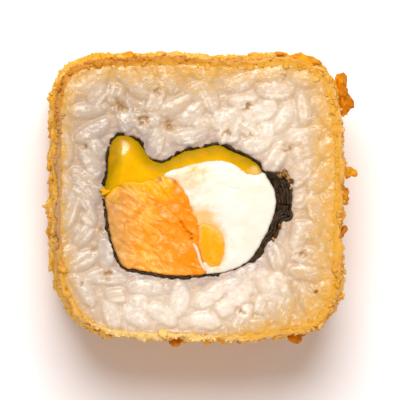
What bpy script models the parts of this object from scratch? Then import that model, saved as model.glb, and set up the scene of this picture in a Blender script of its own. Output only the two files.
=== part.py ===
"""One piece of a fried sushi roll, standing on its lower cut face with its upper cut face in view.

Units are metres and +Z is up. The origin is the middle of the lower cut face. A ring of rice in
a browned crumb crust surrounds a closed sheet of nori, and inside the nori the salmon, the cream
cheese and two runs of melted yellow cheese all run through the piece from face to face.
"""

import math
import random

import bmesh
import bpy
from mathutils import Matrix, Vector, noise

# The piece as a whole.
HEIGHT = 0.0255
HALF_WIDTH = 0.0208
HALF_DEPTH = 0.0206
CORNER_POWER = 5.6
CORNER_CHANGE = 1.6
BARREL = 0.0005
WAVINESS = 0.00035
CRAG_RELIEF = 0.0008
CRAG_SPACING = 0.0034
GAP = 0.0003
WELD = 0.000001

# The turned blank that the rice ring is pressed from.
BLANK_RADIUS = 0.020
BLANK_STEPS = 96
CRUST_BAND = 0.0012
BOARD_TRIM = 0.0003
FLUSH = 0.00008
RIM_ROUNDING = 0.0005
RICE_DIP = 0.0006
SIDE_ROWS = 9

# Cooked grains and fried crumbs.
GRAIN_LENGTH = 0.0060
GRAIN_WIDTH = 0.0026
GRAIN_HEIGHT = 0.0020
TOP_GRAIN_SPACING = 0.0031
BASE_GRAIN_SPACING = 0.0036
CRUMB_SIZE = 0.0022
CRUMB_COUNT = 120
CRUMB_TILT = math.radians(35)
GOLDEN_TURN = math.pi * (3 - math.sqrt(5))
RICE_TRIANGLES = 11200
SEED = 8

# The filling.
NORI_THICKNESS = 0.0005
NORI_OVERLAP_THICKNESS = 0.0015
NORI_OVERLAP_ANGLE = math.radians(-16)
NORI_OVERLAP_SPREAD = math.radians(30)
NORI_RIPPLE = 0.00025
LOOP_STEP = 0.0010
RELIEF_CELL = 0.0014
FILLING_RECESS = 0.0003
CUTTER_REACH = 0.002

# Middle line of the nori sheet round the filling, anticlockwise seen from above.
NORI_LINE = [
    (0.0121, -0.0008), (0.0118, 0.0014), (0.0106, 0.0028), (0.0094, 0.0042), (0.0080, 0.0057),
    (0.0056, 0.0068), (0.0028, 0.0080), (0.0004, 0.0076), (-0.0022, 0.0071), (-0.0043, 0.0060),
    (-0.0060, 0.0054), (-0.0074, 0.0063), (-0.0084, 0.0080), (-0.0098, 0.0091), (-0.0116, 0.0095),
    (-0.0130, 0.0085), (-0.0135, 0.0061), (-0.0136, 0.0038), (-0.0141, 0.0014), (-0.0138, -0.0016),
    (-0.0134, -0.0046), (-0.0126, -0.0074), (-0.0113, -0.0099), (-0.0088, -0.0106), (-0.0046, -0.0113),
    (0.0002, -0.0113), (0.0048, -0.0105), (0.0079, -0.0089), (0.0101, -0.0064), (0.0115, -0.0036),
]

# Where one food meets the next on the cut face. Each region's far corners lie beyond the nori.
CHEESE_EDGE = [
    (0.0096, 0.0040), (0.0081, 0.0035), (0.0070, 0.0038), (0.0054, 0.0049), (0.0034, 0.0056),
    (0.0008, 0.0055), (-0.0020, 0.0049), (-0.0045, 0.0041), (-0.0066, 0.0031), (-0.0086, 0.0025),
    (-0.0104, 0.0027), (-0.0122, 0.0021), (-0.0132, 0.0009), (-0.0150, 0.0002),
]
CHEESE_CORNERS = [(-0.0165, 0.0120), (0.0115, 0.0120)]
SALMON_EDGE = [
    (-0.0074, 0.0048), (-0.0063, 0.0034), (-0.0050, 0.0031), (-0.0036, 0.0027), (-0.0025, 0.0010),
    (-0.0014, -0.0011), (-0.0006, -0.0030), (-0.0003, -0.0048), (-0.0004, -0.0068), (0.0001, -0.0088),
    (0.0006, -0.0106), (0.0008, -0.0130),
]
SALMON_CORNERS = [(-0.0170, -0.0130), (-0.0170, 0.0048)]
DAB_LINE = [
    (0.0003, -0.0036), (-0.0001, -0.0052), (0.0001, -0.0072), (0.0007, -0.0090), (0.0016, -0.0099),
    (0.0027, -0.0098), (0.0034, -0.0083), (0.0036, -0.0066), (0.0030, -0.0051), (0.0016, -0.0039),
]

# Large flakes that stand out of the crust: angle round the piece, height and the three sizes.
FLAKES = [
    (math.radians(37), 0.0205, (0.0022, 0.0054, 0.0030)),
    (math.radians(9), 0.0180, (0.0020, 0.0016, 0.0022)),
    (math.radians(-15), 0.0150, (0.0016, 0.0030, 0.0022)),
    (math.radians(118), 0.0215, (0.0014, 0.0024, 0.0018)),
    (math.radians(-98), 0.0175, (0.0014, 0.0022, 0.0018)),
    (math.radians(196), 0.0120, (0.0016, 0.0030, 0.0026)),
]

MATERIALS = {
    "crusted_rice": ((0.83, 0.72, 0.55), 0.60),
    "nori": ((0.02, 0.02, 0.015), 0.45),
    "salmon": ((0.93, 0.42, 0.12), 0.40),
    "cream_cheese": ((0.95, 0.91, 0.82), 0.40),
    "melted_cheese": ((0.85, 0.52, 0.02), 0.25),
    "melted_cheese_dab": ((0.92, 0.48, 0.03), 0.25),
}


def clear_scene():
    for obj in list(bpy.data.objects):
        bpy.data.objects.remove(obj)


def new_collection(name):
    collection = bpy.data.collections.new(name)
    bpy.context.scene.collection.children.link(collection)
    return collection


def new_object(name, mesh, collection):
    obj = bpy.data.objects.new(name, mesh)
    collection.objects.link(obj)
    return obj


def food_material(name):
    colour, roughness = MATERIALS[name]
    material = bpy.data.materials.new(name)
    material.use_nodes = True
    shader = material.node_tree.nodes["Principled BSDF"]
    shader.inputs["Base Color"].default_value = (*colour, 1.0)
    shader.inputs["Roughness"].default_value = roughness
    return material


# Outlines.
def spline_point(a, b, c, d, t):
    """A point between b and c of the Catmull-Rom curve through a, b, c and d."""
    return 0.5 * (2 * b + (c - a) * t + (2 * a - 5 * b + 4 * c - d) * t**2 + (3 * b - a - 3 * c + d) * t**3)


def smooth_line(points):
    """Points about a step apart along a smooth open line."""
    knots = [Vector(p) for p in (points[0], *points, points[-1])]
    line = []
    for a, b, c, d in zip(knots, knots[1:], knots[2:], knots[3:]):
        count = max(1, round((c - b).length / LOOP_STEP))
        line += [spline_point(a, b, c, d, k / count) for k in range(count)]
    return [*line, knots[-1]]


def smooth_loop(points):
    """Points about a step apart along a smooth closed line."""
    knots = [Vector(p) for p in points]
    total = len(knots)
    loop = []
    for i in range(total):
        a, b, c, d = (knots[(i + k) % total] for k in (-1, 0, 1, 2))
        count = max(1, round((c - b).length / LOOP_STEP))
        loop += [spline_point(a, b, c, d, k / count) for k in range(count)]
    return loop


def anticlockwise(loop):
    area = sum(a.x * b.y - b.x * a.y for a, b in zip(loop, [*loop[1:], loop[0]]))
    return loop if area > 0 else loop[::-1]


def grown(loop, distance):
    """The anticlockwise loop moved outwards by distance, a number or a function of the point."""
    total = len(loop)
    moved = []
    for i, point in enumerate(loop):
        along = (loop[(i + 1) % total] - loop[i - 1]).normalized()
        outward = Vector((along.y, -along.x))
        moved.append(point + outward * (distance(point) if callable(distance) else distance))
    return moved


def inside(loop, x, y):
    """True if the point lies inside the closed loop."""
    found = False
    for a, b in zip(loop, [*loop[1:], loop[0]]):
        if (a.y > y) != (b.y > y) and x < a.x + (b.x - a.x) * (y - a.y) / (b.y - a.y):
            found = not found
    return found


def outline_radius(angle):
    """The piece's rounded square, pressed tighter at its upper corners than at its lower ones."""
    c, s = math.cos(angle), math.sin(angle)
    power = CORNER_POWER + CORNER_CHANGE * (s - 0.4 * s * c)
    square = (abs(c / HALF_WIDTH) ** power + abs(s / HALF_DEPTH) ** power) ** (-1 / power)
    return square + WAVINESS * math.sin(3 * angle + 0.6) * math.cos(5 * angle - 0.4)


def nori_half_thickness(point):
    """Half the sheet's thickness, more where the sheet's two ends overlap on the right."""
    turn = (math.atan2(point.y, point.x) - NORI_OVERLAP_ANGLE) / NORI_OVERLAP_SPREAD
    extra = NORI_OVERLAP_THICKNESS - NORI_THICKNESS
    return 0.5 * (NORI_THICKNESS + extra * math.exp(-(turn**4)))


# Building blocks.
def mesh_from(obj):
    """A mesh of the object as its modifiers or its curve settings make it, with welded caps."""
    graph = bpy.context.evaluated_depsgraph_get()
    mesh = bpy.data.meshes.new_from_object(obj.evaluated_get(graph))
    bm = bmesh.new()
    bm.from_mesh(mesh)
    bmesh.ops.remove_doubles(bm, verts=bm.verts, dist=WELD)
    bm.to_mesh(mesh)
    bm.free()
    return mesh


def prism(name, loops, bottom, top, collection):
    """The outline between two heights: a filled 2D curve, made into a mesh. A second loop is a hole."""
    curve = bpy.data.curves.new(name, "CURVE")
    curve.dimensions = "2D"
    curve.fill_mode = "BOTH"
    curve.extrude = (top - bottom) / 2
    for loop in loops:
        spline = curve.splines.new("POLY")
        spline.points.add(len(loop) - 1)
        for point, place in zip(spline.points, loop):
            point.co = (place.x, place.y, 0, 1)
        spline.use_cyclic_u = True
    drawn = new_object(name + "_outline", curve, collection)
    drawn.location.z = (top + bottom) / 2
    bpy.context.view_layer.update()
    solid = new_object(name, mesh_from(drawn), collection)
    solid.matrix_world = drawn.matrix_world.copy()
    bpy.data.objects.remove(drawn)
    bpy.data.curves.remove(curve)
    return solid


def relief_block(name, loop, bottom, top, relief, collection):
    """A block over the loop's bounding box, with a gridded top raised by relief(x, y)."""
    low = Vector((min(p.x for p in loop), min(p.y for p in loop)))
    high = Vector((max(p.x for p in loop), max(p.y for p in loop)))
    centre = (low + high) / 2
    half = (high - low) / 2 + Vector((RELIEF_CELL, RELIEF_CELL))
    bm = bmesh.new()
    bmesh.ops.create_grid(
        bm,
        x_segments=max(1, round(2 * half.x / RELIEF_CELL)),
        y_segments=max(1, round(2 * half.y / RELIEF_CELL)),
        size=1,
        matrix=Matrix.Translation((centre.x, centre.y, bottom)) @ Matrix.Diagonal((half.x, half.y, 1, 1)),
    )
    raised = bmesh.ops.extrude_face_region(bm, geom=bm.faces[:])["geom"]
    for vert in (v for v in raised if isinstance(v, bmesh.types.BMVert)):
        vert.co.z = top + relief(vert.co.x, vert.co.y)
    bmesh.ops.recalc_face_normals(bm, faces=bm.faces)
    mesh = bpy.data.meshes.new(name)
    bm.to_mesh(mesh)
    bm.free()
    return new_object(name, mesh, collection)


def add_boolean(obj, operation, operand, solver="EXACT"):
    """A Boolean with one object or, for a union, with a whole collection of them."""
    modifier = obj.modifiers.new(operation.title(), "BOOLEAN")
    modifier.operation = operation
    modifier.solver = solver
    if isinstance(operand, bpy.types.Collection):
        modifier.operand_type = "COLLECTION"
        modifier.collection = operand
    else:
        modifier.object = operand
    return modifier


def block(name, low, high, collection):
    """A plain box between two corners."""
    bpy.ops.mesh.primitive_cube_add(size=1, location=(low + high) / 2)
    box = bpy.context.object
    box.name = name
    box.scale = high - low
    for old in list(box.users_collection):
        old.objects.unlink(box)
    collection.objects.link(box)
    return box


def apply_modifiers(obj):
    bpy.context.view_layer.update()
    mesh = mesh_from(obj)
    obj.modifiers.clear()
    obj.data = mesh


def as_cutter(obj):
    obj.hide_render = True
    obj.display_type = "WIRE"
    return obj


def keep_largest_shell(obj):
    """Drops loose scraps and fills hollows that fusing sealed, by keeping the biggest shell."""
    bm = bmesh.new()
    bm.from_mesh(obj.data)
    unseen = set(bm.verts)
    shells = []
    while unseen:
        shell, edge_of_shell = set(), [unseen.pop()]
        while edge_of_shell:
            vert = edge_of_shell.pop()
            shell.add(vert)
            for edge in vert.link_edges:
                other = edge.other_vert(vert)
                if other in unseen:
                    unseen.remove(other)
                    edge_of_shell.append(other)
        shells.append(shell)
    largest = max(shells, key=len)
    bmesh.ops.delete(bm, geom=[v for v in bm.verts if v not in largest], context="VERTS")
    bm.to_mesh(obj.data)
    bm.free()


def merge_slivers(obj):
    """Collapses the slivers that fusing leaves, down to the triangles that the rice may have."""
    triangles = sum(len(face.vertices) - 2 for face in obj.data.polygons)
    decimate = obj.modifiers.new("Slivers", "DECIMATE")
    decimate.ratio = min(1, RICE_TRIANGLES / triangles)
    apply_modifiers(obj)


def finish(obj, material):
    obj.data.materials.clear()
    obj.data.materials.append(material)


# Rice in its crust.
def blank_profile():
    """Half section of the ring's blank, from the middle of the top down the outer side to the base."""
    edge = BLANK_RADIUS
    inner = edge - CRUST_BAND
    top_rim = HEIGHT - RIM_ROUNDING
    side = [top_rim - (top_rim - RIM_ROUNDING) * k / SIDE_ROWS for k in range(SIDE_ROWS + 1)]
    return [
        (0, HEIGHT - RICE_DIP),
        (inner - CRUST_BAND, HEIGHT - RICE_DIP),
        (inner, HEIGHT),
        (edge - RIM_ROUNDING, HEIGHT),
        *[(edge, z) for z in side],
        (edge - RIM_ROUNDING, -BOARD_TRIM),
        (inner, -BOARD_TRIM),
        (inner - CRUST_BAND, RICE_DIP),
        (0, RICE_DIP),
    ]


def crag(angle, z):
    """Height of the crust's crags at a place on the side."""
    place = Vector((math.cos(angle), math.sin(angle), z / HALF_WIDTH)) * HALF_WIDTH / CRAG_SPACING
    return CRAG_RELIEF * (noise.noise(place) + 0.6 * noise.noise(place * 2.3))


def rice_blank(collection):
    """A turned blank, pressed to the rounded square and roughened on its crust."""
    profile = bpy.data.meshes.new("blank_profile")
    points = [(x, 0, z) for x, z in blank_profile()]
    profile.from_pydata(points, [(k, k + 1) for k in range(len(points) - 1)], [])
    turned_blank = new_object("turned_blank", profile, collection)
    screw = turned_blank.modifiers.new("Screw", "SCREW")
    screw.axis = "Z"
    screw.steps = screw.render_steps = BLANK_STEPS
    screw.use_merge_vertices = True
    screw.merge_threshold = 0.00001
    bpy.context.view_layer.update()
    rice = new_object("crusted_rice", mesh_from(turned_blank), collection)
    bpy.data.objects.remove(turned_blank)
    bm = bmesh.new()
    bm.from_mesh(rice.data)
    poles = [v for v in bm.verts if v.co.xy.length < RIM_ROUNDING]
    bmesh.ops.dissolve_verts(bm, verts=poles)
    bm.to_mesh(rice.data)
    bm.free()
    for vert in rice.data.vertices:
        reach = math.hypot(vert.co.x, vert.co.y)
        angle = math.atan2(vert.co.y, vert.co.x)
        bulge = BARREL * math.sin(math.pi * vert.co.z / HEIGHT)
        side = outline_radius(angle) + bulge
        on_side = reach > BLANK_RADIUS - 2 * RIM_ROUNDING
        if on_side:
            side += crag(angle, vert.co.z)
        pressed = reach * side / BLANK_RADIUS if reach < BLANK_RADIUS / 2 else side - (BLANK_RADIUS - reach)
        vert.co.x, vert.co.y = pressed * math.cos(angle), pressed * math.sin(angle)
    return rice


def grain_mesh():
    bm = bmesh.new()
    bmesh.ops.create_uvsphere(bm, u_segments=6, v_segments=3, radius=0.5)
    mesh = bpy.data.meshes.new("grain")
    bm.to_mesh(mesh)
    bm.free()
    return mesh


def crumb_mesh():
    bm = bmesh.new()
    bmesh.ops.create_icosphere(bm, subdivisions=1, radius=0.5)
    mesh = bpy.data.meshes.new("crumb")
    bm.to_mesh(mesh)
    bm.free()
    return mesh


def grain_places(hole, spacing):
    """Places spread evenly over the cut rice, as seeds are in a sunflower, pressed to the outline."""
    count = round(4 * HALF_WIDTH * HALF_DEPTH / spacing**2)
    places = []
    for k in range(count):
        angle = k * GOLDEN_TURN
        reach = (outline_radius(angle) - 2 * CRUST_BAND) * math.sqrt((k + 0.5) / count)
        place = Vector((reach * math.cos(angle), reach * math.sin(angle)))
        if not inside(hole, place.x, place.y):
            places.append(place)
    return places


def add_grains(rng, hole, level, spacing, collection):
    """Cooked grains half sunk in a cut face, most of them lying along the ring."""
    mesh = grain_mesh()
    for place in grain_places(hole, spacing):
        grain = new_object("grain", mesh, collection)
        heading = math.atan2(place.y, place.x) + math.pi + rng.gauss(0, 0.6)
        size = rng.uniform(0.85, 1.1)
        grain.scale = (GRAIN_WIDTH * size, GRAIN_HEIGHT * size, GRAIN_LENGTH * size * rng.uniform(0.75, 1))
        grain.rotation_euler = (math.pi / 2 + rng.gauss(0, 0.12), 0, heading)
        grain.location = (place.x, place.y, level + rng.uniform(-0.0002, 0.0002))


def add_crumbs(rng, collection):
    """Fried crumbs and a few large flakes, sunk into the side of the crust."""
    mesh = crumb_mesh()
    low, high = CRUMB_SIZE / 2, HEIGHT - CRUMB_SIZE / 2
    crumbs = []
    for k in range(CRUMB_COUNT):
        angle = k * GOLDEN_TURN + rng.uniform(-0.1, 0.1)
        z = low + (high - low) * (k + 0.5) / CRUMB_COUNT
        size = CRUMB_SIZE * rng.uniform(0.6, 1.1)
        crumbs.append((angle, z, (0.45 * size, size * rng.uniform(1, 1.8), size * rng.uniform(0.8, 1.5))))
    for angle, z, size in crumbs + FLAKES:
        crumb = new_object("crumb", mesh, collection)
        reach = outline_radius(angle) + BARREL * math.sin(math.pi * z / HEIGHT) + crag(angle, z)
        crumb.location = (reach * math.cos(angle), reach * math.sin(angle), z)
        crumb.scale = size
        crumb.rotation_euler = (rng.uniform(-CRUMB_TILT, CRUMB_TILT), 0, angle)


def make_rice(nori_outer, parts, cutters):
    rng = random.Random(SEED)
    rice = rice_blank(parts)
    hole = grown(nori_outer, GAP)
    fused = new_collection("fused")
    add_grains(rng, hole, HEIGHT - RICE_DIP, TOP_GRAIN_SPACING, fused)
    add_grains(rng, hole, RICE_DIP, BASE_GRAIN_SPACING, fused)
    add_crumbs(rng, fused)
    add_boolean(rice, "UNION", fused)
    apply_modifiers(rice)
    for obj in list(fused.objects):
        bpy.data.objects.remove(obj)
    bpy.data.collections.remove(fused)
    well = as_cutter(prism("filling_well", [hole], -CUTTER_REACH, HEIGHT + CUTTER_REACH, cutters))
    corner = Vector((2 * HALF_WIDTH, 2 * HALF_WIDTH, 0))
    board = as_cutter(block("cutting_board", -corner - Vector((0, 0, HEIGHT)), corner, cutters))
    add_boolean(rice, "DIFFERENCE", well)
    add_boolean(rice, "DIFFERENCE", board)
    apply_modifiers(rice)
    keep_largest_shell(rice)
    merge_slivers(rice)
    for vert in rice.data.vertices:
        if vert.co.z < FLUSH:
            vert.co.z = 0
    finish(rice, food_material("crusted_rice"))


# The filling.
def make_nori(outer, inner, parts):
    """The sheet round the filling, with a rippled upper edge that stays clear of the board."""
    nori = prism("nori", [outer, inner], FILLING_RECESS, HEIGHT, parts)
    half = HEIGHT / 2
    for vert in nori.data.vertices:
        if vert.co.z > 0:
            vert.co.z += NORI_RIPPLE * noise.noise(Vector((vert.co.x, vert.co.y, half)) / (2 * LOOP_STEP))
    finish(nori, food_material("nori"))


def make_filling(name, within, relief, without, parts):
    """One food of the filling: the shared ground of some outlines, less others, under a shaped top."""
    food = relief_block(name, within[0], FILLING_RECESS, HEIGHT, relief, parts)
    for outline in within[1:]:
        add_boolean(food, "INTERSECT", outline, "MANIFOLD")
    for outline in without:
        add_boolean(food, "DIFFERENCE", outline, "MANIFOLD")
    apply_modifiers(food)
    keep_largest_shell(food)
    finish(food, food_material(name))


def swelling(x, y, centre, reach, height):
    """A soft rise of that height round a centre."""
    return height * math.exp(-((x - centre[0]) ** 2 + (y - centre[1]) ** 2) / reach**2)


def cream_relief(x, y):
    """Spread cheese stands proud of the cut in a soft crown."""
    return 0.0002 + swelling(x, y, (0.006, -0.002), 0.006, 0.0007) + 0.0002 * noise.noise(Vector((x, y, 0)) / 0.003)


def salmon_relief(x, y):
    """Flakes of the fish cross the cut as low slanting ridges."""
    across = (x + 0.8 * y) / 0.0032
    return 0.0002 * math.sin(across * math.pi) + 0.0003 * noise.noise(Vector((x, y, 0.01)) / 0.003)


def melted_relief(x, y):
    """Melted cheese wells up at its left end and stays low along the nori."""
    return 0.0001 + swelling(x, y, (-0.0113, 0.0062), 0.0028, 0.0009)


def dab_relief(x, y):
    return swelling(x, y, (0.0018, -0.0070), 0.0024, 0.0006)


def make_fillings(nori_inner, parts, cutters):
    """Each food keeps a gap to the nori, and each one's edge gives way to those before it."""

    def column(name, loop):
        return as_cutter(prism(name, [loop], -CUTTER_REACH, HEIGHT + CUTTER_REACH, cutters))

    room = grown(nori_inner, -GAP)
    loops = {
        "melted_cheese": [*smooth_line(CHEESE_EDGE), *map(Vector, CHEESE_CORNERS)],
        "salmon": [*smooth_line(SALMON_EDGE), *map(Vector, SALMON_CORNERS)],
        "melted_cheese_dab": smooth_loop(DAB_LINE),
    }
    reliefs = {"melted_cheese": melted_relief, "salmon": salmon_relief, "melted_cheese_dab": dab_relief}
    room_column = column("room", room)
    taken = []
    for name, outline in loops.items():
        loop = anticlockwise(outline)
        make_filling(name, [room, room_column, column(name + "_column", loop)], reliefs[name], taken, parts)
        taken.append(column(name + "_with_gap", grown(loop, GAP)))
    make_filling("cream_cheese", [room, room_column], cream_relief, taken, parts)


def build():
    clear_scene()
    parts = new_collection("fried_sushi_roll")
    cutters = new_collection("cutters")
    line = smooth_loop(NORI_LINE)
    outer = grown(line, nori_half_thickness)
    inner = grown(line, lambda p: -nori_half_thickness(p))
    make_rice(outer, parts, cutters)
    make_nori(outer, inner, parts)
    make_fillings(inner, parts, cutters)


build()
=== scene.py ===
"""Looks of one piece of fried sushi roll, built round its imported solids.

The piece stands on one cut face with the other in view. The rice, its crumb crust, the nori and
each food of the filling have a function for the mesh and one for the material. Units are metres,
but for the tables that say otherwise.
"""

import math

import bmesh
import bpy
import numpy as np
from mathutils import Matrix, Vector, noise


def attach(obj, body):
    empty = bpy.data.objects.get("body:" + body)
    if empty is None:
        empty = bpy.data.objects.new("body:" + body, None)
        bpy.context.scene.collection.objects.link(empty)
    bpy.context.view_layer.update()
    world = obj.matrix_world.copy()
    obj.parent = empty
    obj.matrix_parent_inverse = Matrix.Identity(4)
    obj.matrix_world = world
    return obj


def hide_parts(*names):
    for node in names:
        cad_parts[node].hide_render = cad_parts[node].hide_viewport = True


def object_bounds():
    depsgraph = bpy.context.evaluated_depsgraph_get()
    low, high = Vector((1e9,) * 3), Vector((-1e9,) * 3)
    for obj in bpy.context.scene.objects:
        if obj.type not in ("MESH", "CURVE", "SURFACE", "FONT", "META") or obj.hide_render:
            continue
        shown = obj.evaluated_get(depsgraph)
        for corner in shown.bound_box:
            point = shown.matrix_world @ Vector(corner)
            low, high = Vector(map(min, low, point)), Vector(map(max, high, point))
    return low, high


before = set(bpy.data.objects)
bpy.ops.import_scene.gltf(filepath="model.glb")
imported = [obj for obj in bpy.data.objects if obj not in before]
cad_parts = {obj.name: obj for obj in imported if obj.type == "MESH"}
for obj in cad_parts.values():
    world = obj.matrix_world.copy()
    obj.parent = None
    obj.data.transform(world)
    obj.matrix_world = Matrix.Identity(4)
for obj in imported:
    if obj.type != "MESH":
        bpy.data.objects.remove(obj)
cad_low, cad_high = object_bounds()

# Sizes that the solids share.
HEIGHT = 0.0255
HALF_WIDTH = 0.0208
HALF_DEPTH = 0.0206
CORNER_POWER = 5.6
CORNER_CHANGE = 1.6
WAVINESS = 0.00035
BARREL = 0.0005
CRAG_RELIEF = 0.0008
CRAG_SPACING = 0.0034
GAP = 0.0003

# The crust.
CRUST_STEP = 0.00023
RIM_ROUNDING = 0.0006
CRUST_DEPTH = 0.0030
LUMP_SPACING = 0.0026
LUMP_RELIEF = 0.0003
CRUMB_SPACING = 0.00095
CRUMB_BUMP = 0.00010
CRUST_ROUGHNESS = 0.00016
FINE_CRUMBS = (7900, 1, 0.00026, 0.00070)
LARGE_CRUMBS = (420, 2, 0.0007, 0.0014)
# The cut edge's painted shade, darker at the top and left and tan on the left, and its painted light,
# paler at the bottom, at each angle in degrees.
RIM_SHADE = [
    (-180, 0.2), (-155, 0.6), (-130, 0.3), (-115, 0), (-90, 0), (-70, 0.2), (-35, 0.4), (50, 0.35),
    (65, 0.5), (80, 0.8), (95, 0.95), (140, 1.0), (155, 0.5), (180, 0.2),
]
RIM_TAN_SHADE = [(-180, 1), (-165, 1), (-155, 0), (140, 0), (150, 0.8), (180, 1)]
RIM_LIGHT = [(-140, 0), (-122, 1), (-85, 0.9), (-68, 0.1), (-60, 0)]
# Flakes in millimetres: x, y, z, their sizes along each, and their turn in degrees.
FLAKES = [
    (21.0, 15.0, 21.6, 2.4, 6.6, 3.6, 4), (22.2, 3.6, 19.6, 2.6, 1.6, 2.2, -20),
    (21.3, 0.2, 20.5, 1.6, 2.6, 1.8, 8), (21.2, -5.2, 19.0, 1.6, 2.4, 2.2, -10),
    (-10.0, 20.6, 21.5, 2.8, 1.6, 1.8, 8), (-3.0, -20.7, 21.0, 2.0, 2.0, 1.8, 20),
    (-21.0, -5.5, 12.0, 1.6, 3.0, 2.6, 0), (15.8, 20.3, 22.6, 4.6, 1.8, 2.2, -8),
    (14.5, -20.0, 21.9, 3.0, 1.6, 1.8, 12), (-19.2, 16.6, 22.2, 2.0, 2.6, 2.0, 40),
]
# Crumbs on the cut face in millimetres: x, y and size, and how brown they are.
STRAY_CRUMBS = [
    (12.7, 3.6, 1.7, 1), (11.7, 3.6, 1.1, 1), (13.5, 2.6, 1.1, 1), (13.4, 1.5, 0.8, 1),
    (11.8, -4.0, 0.7, 1), (10.8, -5.9, 0.6, 1), (17.0, -13.5, 0.7, 0.6),
]

# The rice.
RICE_CELL = 0.00017
RICE_MARGIN = 0.00035
RICE_BED = 0.00045
RICE_EDGE = 0.0006
RICE_TUCK = 0.0012
GRAIN_TRIES = 12000
GRAIN_LENGTH = 0.0061
GRAIN_WIDTH = 0.0027
GRAIN_THICKNESS = 0.0021
STICKINESS = 0.00014
# Hollows between grains, darkened with painted shade, in millimetres: x, y and reach.
PITS = [
    (-11.5, 13.5, 1.0), (-8.4, 11.6, 0.9), (7.0, 13.5, 0.5), (13.0, 7.5, 0.6), (-6.2, 15.8, 0.6),
    (-4.5, 10.8, 0.7), (4.0, 9.8, 0.5), (-13.5, -11.0, 0.8), (15.0, -8.0, 0.6), (-15.5, -7.5, 0.5),
    (-14.5, -4.5, 0.5), (7.5, 9.5, 0.3), (-16.5, 7.5, 0.3), (6.0, -16.5, 0.4), (-17.5, -12.5, 0.4),
    (12.5, 18.0, 0.3),
]

# The filling.
FOOD_CELL = 0.00013
FOOD_OVERLAP = 0.00040
DAB_OVERLAP = 0.00020
SALMON_FIBRES = math.radians(-38)
SALMON_GROOVE = np.array([[-0.0030, -0.0033], [-0.0013, -0.0058]])
CREAM_DENTS = [(-0.0012, 0.0036, 40), (0.0006, 0.0030, 70), (0.0050, 0.0015, -30)]
CREAM_SMEAR = np.array([[-0.0010, -0.0064], [0.0009, -0.0107]])
BULB_PLACE = (-0.0112, 0.0060)
BULB_TURN = math.radians(60)
LEAK_PLACE = (-0.0139, 0.0011)
# Stains in millimetres: x, y and reach, and how strong.
CREAM_STAINS = [(0.6, -2.7, 1.9, 1), (-1.0, 4.0, 2.8, 0.9), (1.0, -4.6, 1.1, 0.6)]
SALMON_STAINS = [(-5.9, 2.8, 0.8, 1), (-3.8, 2.6, 0.7, 1)]
NORI_THICKNESS = 0.00034
FOLD_THICKNESS = 0.00044
SHEET_ROWS = (1, 0.99, 0.98, 0.965, 0.94, 0.9, 0.8, 0.5, 0.2, 0.1, 0.06, 0.035, 0.02, 0.01, 0)
NORI_FOLDS = [(-58, 26), (-46, 25), (-26, 23), (-17, 22), (-14, 20)]
# How far the overlapping end spreads outwards, in millimetres, at each angle in degrees.
NORI_SPREAD = [
    (-56, 0), (-49, -0.1), (-41, -0.1), (-36, -0.7), (-31, -0.6), (-26, -0.1), (-20, -0.3), (-15, -0.2),
    (-12.5, 0.9), (-3, 0.7), (5, 1.0), (12, 1.2), (18, 0.7), (24, 0),
]
# Where rice hides the sheet, in millimetres: x, y and reach, and how far down.
NORI_FADES = [
    (3.6, -11.0, 3.4, 0.28), (-7.2, 6.4, 1.3, 0.30), (-10.5, 9.5, 0.6, 0.34), (-13.8, 8.1, 0.8, 0.26),
    (-14.2, 1.2, 0.9, 0.50), (6.7, 6.6, 1.0, 0.14), (-13.7, -1.2, 0.6, 0.22), (-2.6, 6.9, 1.1, 0.16),
    (0.4, 7.7, 1.0, 0.22), (3.0, 8.0, 0.8, 0.14),
]

# The camera, from the middle of the upper cut face, and the width that it shows there.
CAMERA_PLACE = (-0.043, 0.020, 0.90)
SHOWN_WIDTH = 0.0585

SEED = 11


def held(values):
    """The values held between 0 and 1."""
    return np.clip(values, 0, 1)


def unit(vectors):
    """The vectors at length 1."""
    return vectors / np.linalg.norm(vectors, axis=-1, keepdims=True)


def angle_of(points):
    """Each point's angle round the middle."""
    return np.arctan2(points[:, 1], points[:, 0])


# Shapes in the plane. A loop is an array of points, anticlockwise seen from above.
def outline_radius(angle):
    """The piece's rounded square, pressed tighter at its upper corners than at its lower ones."""
    c, s = np.cos(angle), np.sin(angle)
    power = CORNER_POWER + CORNER_CHANGE * (s - 0.4 * s * c)
    square = (abs(c / HALF_WIDTH) ** power + abs(s / HALF_DEPTH) ** power) ** (-1 / power)
    return square + WAVINESS * np.sin(3 * angle + 0.6) * np.cos(5 * angle - 0.4)


def resampled(loop, step):
    """The closed loop with its points evenly spaced."""
    closed = np.vstack([loop, loop[:1]])
    along = np.concatenate([[0], np.cumsum(np.linalg.norm(np.diff(closed, axis=0), axis=1))])
    count = round(along[-1] / step)
    places = np.arange(count) * along[-1] / count
    return np.column_stack([np.interp(places, along, closed[:, k]) for k in range(2)])


def outline_loop(step):
    """The piece's outline with its points a step apart."""
    angle = np.linspace(-math.pi, math.pi, 2000, endpoint=False)
    reach = outline_radius(angle)
    return resampled(np.column_stack([reach * np.cos(angle), reach * np.sin(angle)]), step)


def outward(loop):
    """Unit vectors pointing out of the loop at its points."""
    along = np.roll(loop, -1, axis=0) - np.roll(loop, 1, axis=0)
    return unit(np.column_stack([along[:, 1], -along[:, 0]]))


def grown(loop, distance):
    """The loop with its points moved outwards by a distance, or by one for each."""
    return loop + outward(loop) * np.reshape(distance, (-1, 1))


def area_of(loop):
    """The area inside the loop, below zero if it runs clockwise."""
    after = np.roll(loop, -1, axis=0)
    return 0.5 * np.sum(loop[:, 0] * after[:, 1] - after[:, 0] * loop[:, 1])


def inside(loop, points):
    """For each point, whether it lies inside the loop."""
    found = np.zeros(len(points), bool)
    x, y = points[:, 0], points[:, 1]
    for (ax, ay), (bx, by) in zip(loop, np.roll(loop, -1, axis=0)):
        if ay != by:
            crosses = (ay > y) != (by > y)
            found ^= crosses & (x < ax + (bx - ax) * (y - ay) / (by - ay))
    return found


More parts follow.
